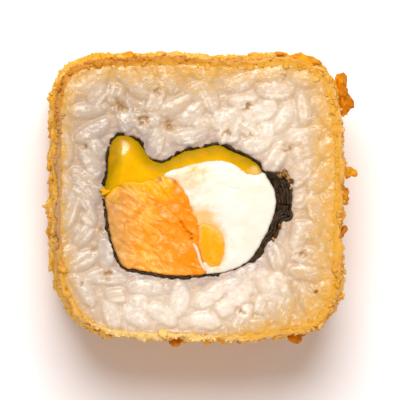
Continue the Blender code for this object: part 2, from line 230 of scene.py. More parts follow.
def nearest(loop, points):
    """For each point, the distance to the loop and the nearest place on it."""
    places = []
    side = np.roll(loop, -1, axis=0) - loop
    squared = np.maximum((side**2).sum(1), 1e-18)
    for part in np.array_split(points, max(1, len(points) // 2000)):
        offset = part[:, None] - loop
        foot = loop + side * held((offset * side).sum(2) / squared)[..., None]
        best = np.linalg.norm(part[:, None] - foot, axis=2).argmin(axis=1)
        places.append(foot[np.arange(len(part)), best])
    places = np.concatenate(places)
    return np.linalg.norm(points - places, axis=1), places


def section(node):
    """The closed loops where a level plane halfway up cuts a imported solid, the largest first.

    Each starts at its rightmost point, so that every run gives the same pieces.
    """
    bm = bmesh.new()
    bm.from_mesh(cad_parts[node].data)
    bmesh.ops.remove_doubles(bm, verts=bm.verts, dist=1e-6)
    everything = bm.verts[:] + bm.edges[:] + bm.faces[:]
    middle = (0, 0, HEIGHT / 2)
    cut = bmesh.ops.bisect_plane(bm, geom=everything, plane_co=middle, plane_no=(0, 0, 1))
    open_edges = {e for e in cut["geom_cut"] if isinstance(e, bmesh.types.BMEdge)}
    loops = []
    while open_edges:
        edge = open_edges.pop()
        start, vert = edge.verts
        loop = [start.co.xy[:]]
        while vert is not start:
            loop.append(vert.co.xy[:])
            edge = next(e for e in vert.link_edges if e in open_edges)
            open_edges.remove(edge)
            vert = edge.other_vert(vert)
        loop = np.array(loop)
        if area_of(loop) < 0:
            loop = loop[::-1]
        loops.append(np.roll(loop, -loop[:, 0].argmax(), axis=0))
    bm.free()
    return sorted(loops, key=area_of, reverse=True)


# Random fields.
def rough(points, size, octaves=1, shift=0.0):
    """Smooth random values round zero that vary over the given size."""
    scaled = np.zeros((len(points), 3))
    scaled[:, : points.shape[1]] = points / size
    scaled += shift
    return np.array([noise.fractal(p, 1, 2, octaves, noise_basis="PERLIN_NEW") for p in scaled.tolist()])


def pebbles(points, size):
    """Round bumps packed side by side: 1 at the middle of each, 0 where they meet."""
    bumps = [noise.voronoi(p)[0] for p in (points / size).tolist()]
    return np.array([min(1, (second - first) * 1.6) for first, second, *_ in bumps])


def swelling(points, x, y, reach, height=1.0):
    """A soft rise round a place that is given in millimetres, as its reach is."""
    return height * np.exp(-((1000 * points - (x, y)) ** 2).sum(1) / reach**2)


def swellings(points, table):
    """The sum of the table's soft rises."""
    return sum(swelling(points, *row) for row in table)


def rounded(depth, radius):
    """How far a surface drops at this depth inside an edge that is rounded to the radius."""
    short = held(1 - depth / radius)
    return radius * (1 - np.sqrt(1 - short**2))


def wandering(points, amount, size, octaves):
    """Random small steps in the plane, for ragged shapes."""
    return amount * np.column_stack([rough(points, size, octaves, shift) for shift in (3.0, 8.0)])


def turned(points, angle):
    """Each point's place along a direction, and across it."""
    c, s = math.cos(angle), math.sin(angle)
    return points[:, 0] * c + points[:, 1] * s, points[:, 1] * c - points[:, 0] * s


def spun(points, axis, angle):
    """Points turned round an axis through the origin."""
    along = (points * axis).sum(-1, keepdims=True) * axis
    return along + (points - along) * np.cos(angle) + np.cross(axis, points) * np.sin(angle)


def strands(points, angle, long, wide, shift=0.0, bend=0.0005):
    """A random field drawn out along one direction, as fibres are."""
    along, across = turned(points, angle)
    across += bend * rough(points, 0.003, 1, shift)
    return rough(np.column_stack([along / long, across / wide]), 1, 2, shift)


# Pieces.
def added(name, data):
    """A new object in the scene."""
    thing = bpy.data.objects.new(name, data)
    bpy.context.scene.collection.objects.link(thing)
    return thing


def new_piece(name, points, faces, material, node, values=None):
    """A mesh that rides on the root body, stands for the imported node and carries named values."""
    mesh = bpy.data.meshes.new(name)
    mesh.from_pydata(np.asarray(points).tolist(), [], [list(f) for f in faces])
    mesh.materials.append(material)
    mesh.shade_smooth()
    for value_name, numbers in (values or {}).items():
        attribute = mesh.attributes.new(value_name, "FLOAT", "POINT")
        attribute.data.foreach_set("value", np.asarray(numbers, np.float32))
    piece = added(name, mesh)
    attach(piece, "root")
    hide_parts(node)


def tube_faces(columns, around, closed=True):
    """Faces through a row of loops with equally many points, joined end to end or capped."""
    number = np.arange(columns * around).reshape(columns, around)
    after = np.roll(number, -1, axis=0)
    corners = [number, np.roll(number, -1, axis=1), np.roll(after, -1, axis=1), after]
    kept = columns if closed else columns - 1
    faces = np.column_stack([c[:kept].ravel() for c in corners]).tolist()
    return faces if closed else faces + [number[0][::-1].tolist(), number[-1].tolist()]


def cells_within(loops, cell):
    """A grid of square cells over the first loop's inside and outside the other loops.

    Returns the points, the cells as rows of four points, and each cell's open sides as rows of two.
    """
    low, high = loops[0].min(axis=0) - cell, loops[0].max(axis=0) + cell
    counts = np.ceil((high - low) / cell).astype(int) + 1
    i, j = np.meshgrid(np.arange(counts[0]), np.arange(counts[1]), indexing="ij")
    points = low + cell * np.column_stack([i.ravel(), j.ravel()])
    wanted = inside(loops[0], points)
    for hole in loops[1:]:
        wanted &= ~inside(hole, points)

    def corners(grid):
        return [grid[:-1, :-1], grid[1:, :-1], grid[1:, 1:], grid[:-1, 1:]]

    cells = np.all(corners(wanted.reshape(counts)), axis=0)
    quads = np.column_stack([c[cells] for c in corners(np.arange(len(points)).reshape(counts))])
    used, quads = np.unique(quads, return_inverse=True)
    quads = quads.reshape(-1, 4)
    edges = np.vstack([quads[:, [k, (k + 1) % 4]] for k in range(4)])
    is_shared = np.isin(edges @ [len(used), 1], edges @ [1, len(used)])
    return points[used], quads, edges[~is_shared]


def slab(loops, cell, surfaces, tuck=0.0):
    """A closed solid over the loops' region. surfaces(points, depth) gives its top and its base.

    Each of the two is a height for every point and a dictionary of named values. Between them the
    outer wall is drawn in by the tuck.
    """
    points, quads, sides = cells_within(loops, cell)
    rim = np.unique(sides)
    gaps, places = map(np.array, zip(*(nearest(loop, points[rim]) for loop in loops)))
    closest = gaps.argmin(axis=0)
    points[rim] = places[closest, np.arange(len(rim))]
    depth = np.min([nearest(loop, points)[0] for loop in loops], axis=0)
    depth[rim] = 0
    (top, top_values), (base, base_values) = surfaces(points, depth)
    count = len(points)
    vertices = np.vstack([np.column_stack([points, top]), np.column_stack([points, base])])
    walls = np.column_stack([sides[:, 1], sides[:, 0], sides[:, 0] + count, sides[:, 1] + count])
    faces = [quads, quads[:, ::-1] + count, walls]
    values = {name: np.concatenate([top_values[name], base_values[name]]) for name in top_values}
    if tuck:
        outer = rim[closest == 0]
        ring = np.concatenate([outer, outer + count])
        inner = vertices[ring]
        inner[:, :2] -= tuck * unit(inner[:, :2])
        inner[:, 2] += 2 * tuck * np.repeat([-1, 1], len(outer))
        copy = np.zeros(2 * count, int)
        copy[ring] = 2 * count + np.arange(len(ring))
        is_outer = np.isin(sides, outer).all(axis=1)
        a, b, c, d = walls[is_outer].T
        rows = [(a, b, copy[b], copy[a]), copy[[a, b, c, d]], (copy[d], copy[c], c, d)]
        faces[2:] = [walls[~is_outer], *(np.column_stack(row) for row in rows)]
        vertices = np.vstack([vertices, inner])
        values = {name: np.concatenate([numbers, numbers[ring]]) for name, numbers in values.items()}
    return vertices, np.vstack(faces), values


# Materials.
class Finish:
    """A Principled material under construction, with the colour that its layers have made so far."""

    def __init__(self, name, roughness, colour, specular=0.5, soft=(), coat=()):
        self.material = bpy.data.materials.new(name)
        self.material.use_nodes = True
        self.tree = self.material.node_tree
        self.shader = self.tree.nodes["Principled BSDF"]
        self.place = self.node("TexCoord", {}, "Object")
        self.colour = srgb(*colour)
        self.set("Roughness", roughness)
        self.set("Specular IOR Level", specular)
        for setting, value in zip(("Weight", "Radius", "Scale"), soft):
            self.set("Subsurface " + setting, value)
        for setting, value in zip(("Weight", "Roughness"), coat):
            self.set("Coat " + setting, value)

    def join(self, value, socket):
        """Sets a socket to a number or a colour, or links it to another socket."""
        if isinstance(value, bpy.types.NodeSocket):
            self.tree.links.new(value, socket)
        elif isinstance(value, tuple) and socket.type == "RGBA":
            socket.default_value = (*value, 1)
        else:
            socket.default_value = value

    def node(self, kind, inputs, output=0, **settings):
        """Adds a node with its settings and inputs, and gives one of its outputs."""
        node = self.tree.nodes.new("ShaderNode" + kind)
        for name, value in settings.items():
            setattr(node, name, value)
        for name, value in inputs.items():
            self.join(value, node.inputs[name])
        return node.outputs[output]

    def set(self, name, value):
        self.join(value, self.shader.inputs[name])

    def value(self, name):
        """A value that the mesh carries."""
        return self.node("Attribute", {}, "Fac", attribute_name=name)

    def noise(self, size, detail=3, stretch=(1, 1, 1), turn=0.0, distortion=0.0):
        """A random field from 0 to 1 that varies over the size, drawn out by the stretch."""
        inputs = {"Vector": self.place, "Rotation": (0, 0, turn), "Scale": stretch}
        place = self.node("Mapping", inputs, vector_type="TEXTURE")
        inputs = {"Vector": place, "Scale": 1 / size, "Detail": detail, "Distortion": distortion}
        return self.node("TexNoise", inputs, "Fac")

    def spread(self, value, low, high, to_low=0.0, to_high=1.0):
        """The value's range from low to high moved to a new range, and held inside it."""
        return self.node("MapRange", {0: value, 1: low, 2: high, 3: to_low, 4: to_high})

    def math(self, operation, a, b):
        return self.node("Math", {0: a, 1: b}, operation=operation)

    def mix(self, share, a, b, blend="MIX"):
        """Colour a, with colour b blended in by the share."""
        return self.node("Mix", {0: share, 6: a, 7: b}, 2, data_type="RGBA", blend_type=blend)

    def uneven(self, name, size, most, detail=3, **more):
        """A value that the mesh carries, with a random field of up to the most added to it."""
        field = self.spread(self.noise(size, detail, **more), 0.3, 0.7, -most, most)
        return self.math("ADD", self.value(name), field)

    def paint(self, colour, value, low=0, high=1, most=1.0):
        """Lays a colour over those so far, the more of it the nearer the value gets to high."""
        self.colour = self.mix(self.spread(value, low, high, 0, most), self.colour, srgb(*colour))

    def bump(self, height, distance, strength):
        inputs = {"Height": height, "Distance": distance, "Strength": strength}
        self.set("Normal", self.node("Bump", inputs))

    def finished(self):
        self.set("Base Color", self.colour)
        return self.material


def srgb(red, green, blue):
    """A colour as a picture shows it, 0 to 255, in the scene's linear values."""
    shares = [c / 255 for c in (red, green, blue)]
    return tuple(c / 12.92 if c <= 0.04045 else ((c + 0.055) / 1.055) ** 2.4 for c in shares)


# The crumb crust.
def crust_profile():
    """Places down the crust's section: depth inwards from the side, and height."""
    top = HEIGHT - RIM_ROUNDING
    arc = np.linspace(0, math.pi / 2, 5)[1:-1]
    side = np.linspace(top, RIM_ROUNDING, round((top - RIM_ROUNDING) / CRUST_STEP))
    band = np.arange(RIM_ROUNDING, CRUST_DEPTH, CRUST_STEP * 1.1)
    rim = [(RIM_ROUNDING * (1 - math.cos(a)), RIM_ROUNDING * (1 - math.sin(a))) for a in arc]
    lower = rim + [(d, 0) for d in band]
    upper = [(d, HEIGHT - z) for d, z in lower[::-1]]
    wall = [(CRUST_DEPTH, z) for z in np.linspace(0, HEIGHT, 8)[1:-1]]
    return np.array(upper + [(0, z) for z in side] + lower + wall)


def band_width(angle):
    """How far the crust shows on the cut face: wide on the right and at the top, thin elsewhere."""
    c, s = np.cos(angle), np.sin(angle)
    return 0.0003 + 0.0009 * held(c) ** 2 + 0.0006 * held(s) ** 2


def crags(angle, place):
    """How far the crust's side stands out at each place: its solid's crags, and lumps on them.

    At its rims it hardly draws in, so that the rice's edge stays covered.
    """
    way = np.column_stack([np.cos(angle), np.sin(angle), place[:, 2] / HALF_WIDTH])
    way = way * HALF_WIDTH / CRAG_SPACING
    solid = CRAG_RELIEF * (rough(way, 1) + 0.6 * rough(way, 1 / 2.3))
    stands_out = solid + LUMP_RELIEF * (pebbles(place, LUMP_SPACING) - 0.5)
    level = np.minimum(place[:, 2], HEIGHT - place[:, 2])
    return np.maximum(stands_out, -0.00018 - 0.0006 * held(level / 0.0016 - 0.1))


def crust_surface():
    """Vertices and faces of the crust's ring.

    Also gives each vertex's depth inside the side, its crumb relief and which way out is.
    """
    loop, profile = outline_loop(CRUST_STEP), crust_profile()
    columns, rows = len(loop), len(profile)
    depth, z = (np.tile(profile[:, k], columns) for k in range(2))
    base, out = (np.repeat(rows_of, rows, axis=0) for rows_of in (loop, outward(loop)))
    place = np.column_stack([base - out * depth[:, None], z])
    angle = angle_of(base)
    fine = CRUMB_BUMP * (pebbles(place, CRUMB_SPACING) - 0.5)
    fine += CRUST_ROUGHNESS * rough(place, 0.0013, 4)
    push = BARREL * np.sin(math.pi * z / HEIGHT) + crags(angle, place) * held(1.4 - depth / 0.0008)
    push += fine * (0.25 + 0.75 * held(1 - depth / RIM_ROUNDING))
    place[:, :2] += out * push[:, None]
    width = band_width(angle) + 0.0005 * rough(place, 0.0020, 2, 4.0)
    sink = 0.0013 * held((depth - width - 0.0003) / 0.0011) + 0.00010 + 0.9 * abs(fine)
    sink += 0.00012 * rough(place, 0.0016, 2) + 0.00030 * rough(place, 0.0007, 3, 2.0)
    on_top, on_base = z >= HEIGHT - 1e-6, z <= 1e-6
    place[on_top, 2] -= sink[on_top]
    place[on_base, 2] += np.maximum(sink[on_base], 0)
    place[:, 2] = np.clip(place[:, 2], 0, None)
    return place, tube_faces(columns, rows), depth, fine, out


def by_angle(angle, table):
    """The table's value at each angle."""
    places, values = np.transpose(table)
    return np.interp(np.degrees(angle), places, values)


def brown_reach(angle):
    """How far the crust's fat and batter colour the rice: farthest at the top and on the right, and at
    the top left also as painted shade.
    """
    # The top-left term spreads the browning further as painted shade.
    right, top_left_shade = np.exp(-((angle + 0.15) ** 4)), np.exp(-(((angle - 2.0) / 0.6) ** 2))
    top = 0.0022 * held(np.sin(angle)) ** 2
    # Less browning where the cut edge has painted light.
    left = 0.0007 * np.exp(-(((angle + 2.75) / 0.35) ** 2)) - 0.0005 * by_angle(angle, RIM_LIGHT)
    return 0.0014 + 0.0040 * right + top + 0.0018 * top_left_shade + left


def browning(depth, angle):
    """How much the crust has browned the rice at a depth inside the side, from 0 to 1."""
    return np.exp(-((np.maximum(depth, 0) / brown_reach(angle)) ** 1.3))


def crust_values(place, depth, tone):
    """What the crust's material reads at each place."""
    angle, z = angle_of(place), place[:, 2]
    face = held((depth - 0.0001) / 0.0004)
    edge = held((z - HEIGHT + 0.0016) / 0.0010)
    # How much painted shade darkens the cut edge at this angle.
    rim_shade = by_angle(angle, RIM_SHADE)
    near = held((z - HEIGHT + 0.0034) / 0.0018) * held(1.3 - depth / (0.0006 + 0.0004 * rim_shade))
    return {
        "tone": tone,
        "brown": browning(depth, angle),
        "face": face,
        # The rim value is painted shade, darker at the top and left, over some browning of the cut edge.
        "rim": near * rim_shade,
        # The pale value is painted light on the lower cut edge.
        "pale": 0.9 * edge * held(1 - depth / 0.0008) * by_angle(angle, RIM_LIGHT),
        "strip": held(1.2 - np.minimum(z, HEIGHT - z) / 0.0012) * (depth < 0.0002),
        # The tan value is painted shade on the left.
        "tan": 0.9 * np.maximum(face, edge) * by_angle(angle, RIM_TAN_SHADE),
    }


def browned(finish, brown):
    """Colours the rice of the cut face by how much the crust has browned it."""
    finish.paint((206, 176, 138), brown, 0.04, 0.36)
    finish.paint((212, 170, 102), brown, 0.35, 0.57)
    finish.paint((220, 162, 54), brown, 0.57, 0.84)


def crust_material():
    """Golden fried crumb: yellow, with orange patches, pale spots and brown specks, painted shade at the
    top and left of the cut edge and painted light at its bottom.
    """
    finish = Finish("crumb_crust", 0.7, (240, 178, 44), 0.22, soft=(0.15, (1.0, 0.7, 0.3), 0.0007))
    orange = (236, 160, 14)
    finish.paint((238, 190, 94), finish.noise(0.0120), 0.46, 0.60, 0.8)
    finish.paint(orange, finish.noise(0.0080, 4), 0.48, 0.62, 0.9)
    # Paler where the tone is high, oranger where low; on the ring the tone follows the crumb relief, so
    # this is partly painted light and shade.
    tone = finish.math("ADD", finish.value("tone"), finish.noise(0.0005))
    finish.paint((252, 218, 140), tone, 1.05, 1.45, 0.6)
    finish.paint(orange, tone, 0.85, 0.50, 0.35)
    finish.paint((222, 130, 2), finish.noise(0.0034, distortion=0.4), 0.60, 0.70, 0.85)
    finish.paint((238, 200, 128), finish.uneven("strip", 0.0009, 0.2), 0.2, 0.9, 0.65)
    crumb, finish.colour = finish.colour, srgb(233, 220, 200)
    browned(finish, finish.uneven("brown", 0.0009, 0.2))
    face = finish.spread(finish.uneven("face", 0.0007, 0.3), 0.2, 1.0)
    finish.colour = finish.mix(face, crumb, finish.colour)
    # Painted shade: tan on the left.
    finish.paint((178, 141, 100), finish.value("tan"))
    # Painted light: paler at the bottom of the cut edge.
    finish.paint((255, 222, 150), finish.value("pale"))
    # Painted shade: orange-brown at the top and left of the cut edge, over some browning there.
    finish.paint((184, 106, 8), finish.uneven("rim", 0.0009, 0.2), 0.1, 1.1, 0.9)
    finish.bump(finish.noise(0.00028), 0.00008, 0.7)
    return finish.finished()


def make_crust():
    """The crust's ring, and the crumbs and flakes on it."""
    place, faces, depth, fine, out = crust_surface()
    material = crust_material()
    # The ring's tone follows its crumb relief: raised crumb middles are painted paler and the joins
    # oranger, as painted light and shade.
    values = crust_values(place, depth, 0.5 + 0.35 * fine / CRUMB_BUMP)
    new_piece("crust", place, faces, material, "crusted_rice", values)
    make_crumbs(place, depth, out, material)
    make_flakes()


def crumb_shape(subdivisions):
    """Points and faces of a ball 1 across."""
    bm = bmesh.new()
    bmesh.ops.create_icosphere(bm, subdivisions=subdivisions, radius=0.5)
    points = np.array([v.co[:] for v in bm.verts])
    faces = np.array([[v.index for v in f.verts] for f in bm.faces])
    bm.free()
    return points, faces


def make_crumbs(place, depth, out, material):
    """Fried crumbs that lie in the crust and stand a little out of it."""
    rng = np.random.default_rng(SEED)
    band = band_width(angle_of(place))
    corners, faces, values, total = [], [], [], 0
    for count, subdivisions, smallest, largest in (LARGE_CRUMBS, FINE_CRUMBS):
        shape, shape_faces = crumb_shape(subdivisions)
        beyond = np.maximum(depth - band, 0)
        on_cut = np.where(beyond < 0.0004, 0.9, 0.5 * held(1 - beyond / 0.0016))
        chance = np.where(depth < 0.0002, 1.0, on_cut)
        picked = rng.choice(len(place), count, replace=False, p=chance / chance.sum())
        size = smallest + (largest - smallest) * rng.random(count) ** 2
        scale = size[:, None] * rng.uniform([0.4, 0.8, 0.8], [0.65, 1.5, 1.2], (count, 3))
        jitter = 1 + rng.uniform(-0.26, 0.26, (count, len(shape), 1))
        waves = shape @ rng.normal(0, 4, (count, 3, 1))
        jitter += 0.3 * np.sin(waves + rng.uniform(0, 6, (count, 1, 1)))
        axis, tilt = unit(rng.normal(size=(count, 1, 3))), rng.uniform(-1.4, 1.4, (count, 1, 1))
        local = spun(shape * jitter * scale[:, None], axis, tilt)
        normal = np.column_stack([out[picked], np.zeros(count)])
        on_face = depth[picked] > 0.0003
        normal[on_face] = (0, 0, 1)
        aside = unit(np.cross(normal, rng.normal(size=(count, 3))))
        basis = np.stack([normal, aside, np.cross(normal, aside)], axis=1)
        raised = -0.04 + 0.20 * held(1.2 - (HEIGHT - place[picked, 2]) / 0.004)
        centres = place[picked] + normal * (np.where(on_face, 0, raised) * size)[:, None]
        centres[:, 2] = np.clip(centres[:, 2], 0.3 * size, HEIGHT - 0.03 * size)
        made = local @ basis + centres[:, None]
        made[..., 2] = np.maximum(made[..., 2], 0)
        corners.append(made.reshape(-1, 3))
        first = total + np.arange(count)[:, None, None] * len(shape)
        faces.append((shape_faces[None] + first).reshape(-1, 3))
        total += count * len(shape)
        found = crust_values(centres, depth[picked], rng.normal(0.52, 0.13, count))
        found["face"] *= 0.8
        values.append({name: np.repeat(numbers, len(shape)) for name, numbers in found.items()})
    joined = {name: np.concatenate([v[name] for v in values]) for name in values[0]}
    new_piece("crumbs", np.vstack(corners), np.vstack(faces), material, "crusted_rice", joined)


def make_flakes():
    """The largest flakes, browner than the crust that they stand out of, and crumbs on the cut face."""
    shape, shape_faces = crumb_shape(4)
    lying = [
        (x, y, 1000 * HEIGHT + 0.05 * size, size, 0.7 * size, 0.6 * size, 10 * x)
        for x, y, size, _ in STRAY_CRUMBS
    ]
    points, faces = [], []
    for k, (*place, degrees) in enumerate(FLAKES + lying):
        centre, size = np.array(place[:3]) / 1000, np.array(place[3:]) / 1000
        local = shape * size
        swell = 0.0010 * rough(local + 0.01 * k, 0.0022, 2) + 0.00022 * rough(local, 0.0005, 3, k)
        swell += 0.0005 * (pebbles(local + 0.01 * k, 0.0013) - 0.5)
        local += shape * 2 * (swell * min(1, min(size) / 0.0016))[:, None]
        points.append(spun(local, (0, 0, 1), math.radians(degrees)) + centre)
        faces.append(shape_faces + k * len(shape))
    stray = [0.0] * len(FLAKES) + [brown for *_, brown in STRAY_CRUMBS]
    golden = 0.35 * (1 - np.cos(2.4 * np.arange(len(stray))))
    values = {"stray": np.repeat(stray, len(shape)), "golden": np.repeat(golden, len(shape))}
    new_piece("flakes", np.vstack(points), np.vstack(faces), flake_material(), "crusted_rice", values)


def flake_material():
    """Browner crumb for the flakes, and brown specks for the crumbs on the cut face."""
    finish = Finish("browned_flake", 0.6, (208, 124, 0), 0.08)
    finish.paint((184, 94, 0), finish.noise(0.0012), 0.4, 0.65)
    finish.paint((232, 160, 24), finish.noise(0.0005), 0.55, 0.75, 0.5)
    finish.paint((236, 172, 42), finish.uneven("golden", 0.0010, 0.4))
    flake, finish.colour = finish.colour, srgb(92, 60, 26)
    finish.paint((176, 134, 82), finish.noise(0.0006, 2), 0.45, 0.6)
    finish.colour = finish.mix(finish.value("stray"), flake, finish.colour)
    finish.bump(finish.noise(0.0004), 0.00012, 0.8)
    return finish.finished()


# The rice.
def grain_places(rng, room, low):
    """Grains laid at random at any depth that shows in the cut, where the rice has room for them."""
    step = np.linspace(-1, 1, 5)[:, None]
    grains, taken = [], np.zeros((0, 3))
    for later in np.linspace(0, 1, GRAIN_TRIES):
        heading = rng.uniform(0, math.pi)
        tilt = np.clip(rng.normal(0, 0.22 + 0.4 * later), -1, 1)
        half = GRAIN_LENGTH / 2 * rng.uniform(0.86 - 0.3 * later, 1.06)
        width = GRAIN_WIDTH * rng.uniform(0.85, 1.1)
        spacing = 0.92 - 0.36 * later
        level = math.cos(tilt)
        way = np.array([math.cos(heading) * level, math.sin(heading) * level, math.sin(tilt)])
        centre = np.array([*rng.uniform(-HALF_WIDTH, HALF_WIDTH, 2), rng.uniform(-0.0008, 0)])
        line = centre + step * way * (half - width / 2)
        i, j = np.rint((line[:, :2] - low) / RICE_CELL).astype(int).T
        if room[i, j].min() < 0.34 * width:
            continue
        if len(taken) and np.linalg.norm(taken[None] - line[:, None], axis=2).min() < spacing * width:
            continue
        taken = np.vstack([taken, line])
        grains.append((centre, heading, tilt, half, width, rng.uniform(0, 1)))
    return grains


def smooth_max(a, b, reach):
    """The larger of two heights, with a soft joint where they meet."""
    blend = held(1 - abs(a - b) / reach)
    return np.maximum(a, b) + 0.25 * reach * blend**2


def press(height, limit, give):
    """Heights above the limit flattened softly to it, as by a knife."""
    over = np.maximum(height - limit, 0)
    return np.minimum(height, limit) + give * (1 - np.exp(-over / give))


def rice_face(rng, points, room, low):
    """Heights of packed grains in their sticky bed, with their tone and their streaks of painted
    highlight.
    """
    height = -RICE_BED + 0.00014 * rough(points, 0.0013, 2, rng.uniform(0, 50))
    tone, gleam = np.full(len(points), 0.5), np.zeros(len(points))
    patchy = rough(points, 0.0009, 2, 7.0)
    for centre, heading, tilt, half, width, shade in grain_places(rng, room, low):
        reach = half * math.cos(tilt) + width / 2 * abs(math.sin(tilt)) * 0.6
        offset = points - centre[:2]
        near = np.nonzero((abs(offset) < reach + width).all(axis=1))[0]
        u, v = turned(offset[near], heading)
        u /= reach
        v = (v - 0.00028 * u**2) / (width / 2)
        q = abs(u) ** 2.5 + v**2
        over = q < 1
        near, u, v, q = near[over], u[over], v[over], q[over]
        dome = centre[2] + math.tan(tilt) * u * reach + GRAIN_THICKNESS / 2 * np.sqrt(1 - q)
        limit = 0.00008 * (shade - 0.5) - 0.00024 * q**1.6
        dome = press(dome, limit, 0.00007)
        higher = dome > height[near]
        tone[near[higher]] = shade
        # Streaks of painted highlight along the grain.
        places, wide = rng.uniform(-0.7, 0.7, 2), rng.uniform(0.12, 0.32, 2)
        lines = np.exp(-(((v[:, None] + 0.15 * patchy[near, None] - places) / wide) ** 2)).max(axis=1)
        lines *= held(0.55 + 1.6 * patchy[near] + 0.5 * shade) * held(1.25 - abs(u))
        gleam[near[higher]] = lines[higher]
        height[near] = smooth_max(height[near], dome, STICKINESS)
    return height, tone, gleam


def settled(points, values, cell, rounds):
    """The values averaged with their neighbours' on the grid that the points came from."""
    place = tuple(np.rint((points - points.min(axis=0)) / cell).astype(int).T + 1)
    grid = np.zeros(np.max(place, axis=1) + 2)

    def blurred():
        around = sum(np.roll(grid, way, axis) for axis in (0, 1) for way in (-1, 1))
        return (4 * grid + around)[place]

    grid[place] = 1
    weight = blurred()
    for _ in range(rounds):
        grid[place] = values
        values = blurred() / weight
    return values


def rice_surfaces(hole):
    """A function that gives the rice's two cut faces round the hole, for a slab."""
    def surfaces(points, depth):
        sides = []
        to_hole = nearest(hole, points)[0]
        angle = angle_of(points)
        margin = outline_radius(angle) - np.linalg.norm(points, axis=1)
        band = band_width(angle) + 0.0004 * rough(points, 0.0018, 2, 5.0)
        brown = browning(margin, angle) + swelling(points, 13.0, -11.5, 4.5, 0.12)
        low = np.full(2, -1.2 * HALF_WIDTH)
        room = np.full((round(2.4 * HALF_WIDTH / RICE_CELL) + 2,) * 2, -1.0)
        i, j = np.rint((points - low) / RICE_CELL).astype(int).T
        room[i, j] = np.minimum(to_hole, margin - 0.0001)
        for face, seed in enumerate((SEED, SEED + 1)):
            rng = np.random.default_rng(seed)
            height, tone, gleam = rice_face(rng, points, room, low)
            height = settled(points, height, RICE_CELL, 2)
            height = 0.75 * height + 0.00020 * rough(points, 0.006, 1, seed)
            height += 0.00004 * rough(points, 0.0007, 3, seed)
            smeared = held(2.2 * brown - 0.7) * 0.55
            flat = 0.00006 + 0.00016 * abs(rough(points, 0.0016, 4, seed))
            height = (1 - smeared) * height - smeared * flat
            # Painted shade in the pits, as deep as each is dented.
            stain = np.zeros(len(points))
            ragged = points + wandering(points, 0.0007, 0.0009, 3)
            for x, y, reach in PITS:
                hollow = swelling(ragged, x, y if face == 0 else -y, reach)
                height -= 0.0006 * reach * hollow
                stain = np.maximum(stain, hollow)
            height = press(height, 0.00010, 0.00012)
            height -= rounded(to_hole, 0.0004) * 0.5
            height -= 0.0006 * held(1 - (margin - 0.6 * band) / RICE_EDGE) ** 2
            values = {
                "tone": tone,
                "gleam": gleam * np.clip(1.5 - 2.2 * brown, 0.1, 1),
                "brown": brown,
                # Painted shade, stronger towards the left and the top.
                "dim": held(0.55 - points[:, 0] / 0.045 + points[:, 1] / 0.08),
                "wrap": to_hole / 0.006,
                # How far down each place lies, for painted shade in the creases.
                "deep": -height / 0.001,
                "stain": stain,
            }
            z = HEIGHT + height if face == 0 else np.maximum(-height, 0)
            sides.append((z, values))
        return sides

    return surfaces


def rice_material():
    """Cooked rice: cream-white, browner by the crust, greyer by the nori, with painted shade towards the
    left and top, in its creases and pits, and wet glints, partly from its coat and partly painted
    highlights.
    """
    soft, coat = (0.3, (1.0, 0.85, 0.7), 0.0007), (0.08, 0.15)
    finish = Finish("rice", 0.42, (232, 217, 198), soft=soft, coat=coat)
    # Painted shade towards the left and top: greyer first.
    finish.paint((188, 167, 143), finish.value("dim"), 0.35, 1.0, 0.9)
    finish.paint((204, 180, 150), finish.value("tone"), 0.25, 0.9, 0.5)
    finish.paint((172, 155, 148), finish.uneven("wrap", 0.0022, 0.18), 0.40, 0.0, 0.85)
    browned(finish, finish.uneven("brown", 0.0012, 0.14, 4))
    # Painted highlights: pale streaks along the grains.
    finish.paint((253, 241, 222), finish.uneven("gleam", 0.0006, 0.25), 0.25, 0.95, 0.55)
    # Painted highlights: small near-white spots.
    finish.paint((255, 245, 230), finish.noise(0.0007, distortion=0.5), 0.58, 0.70, 0.4)
    finish.paint((204, 160, 104), finish.noise(0.0011, 5, distortion=1.0), 0.60, 0.72, 0.5)
    # Painted shade: darker beige in the creases between grains.
    finish.paint((190, 150, 106), finish.value("deep"), 0.10, 0.5, 0.5)
    # Painted shade in the pits, beige and then brown where they are deepest.
    finish.paint((194, 156, 108), finish.value("stain"), 0.15, 0.6, 0.8)
    finish.paint((138, 98, 54), finish.value("stain"), 0.55, 0.95, 0.75)
    # Painted shade towards the left and top: then multiplied darker.
    shade = finish.spread(finish.value("dim"), 0.60, 1.1, 0, 0.5)
    finish.colour = finish.mix(shade, finish.colour, (0.74, 0.74, 0.78), "MULTIPLY")
    finish.set("Roughness", finish.spread(finish.noise(0.0010), 0.35, 0.65, 0.26, 0.6))
    finish.bump(finish.noise(0.00035), 0.00008, 0.8)
    return finish.finished()


def make_rice(nori_outer):
    """The ring of rice between the crust and the nori."""
    edge = grown(outline_loop(0.0005), -RICE_MARGIN)
    hole = grown(nori_outer, 0.00050 * rough(nori_outer, 0.0014, 3) - 0.00020 - nori_fade(nori_outer))
    points, faces, values = slab([edge, hole], RICE_CELL, rice_surfaces(hole), RICE_TUCK)
    new_piece("rice", points, faces, rice_material(), "crusted_rice", values)


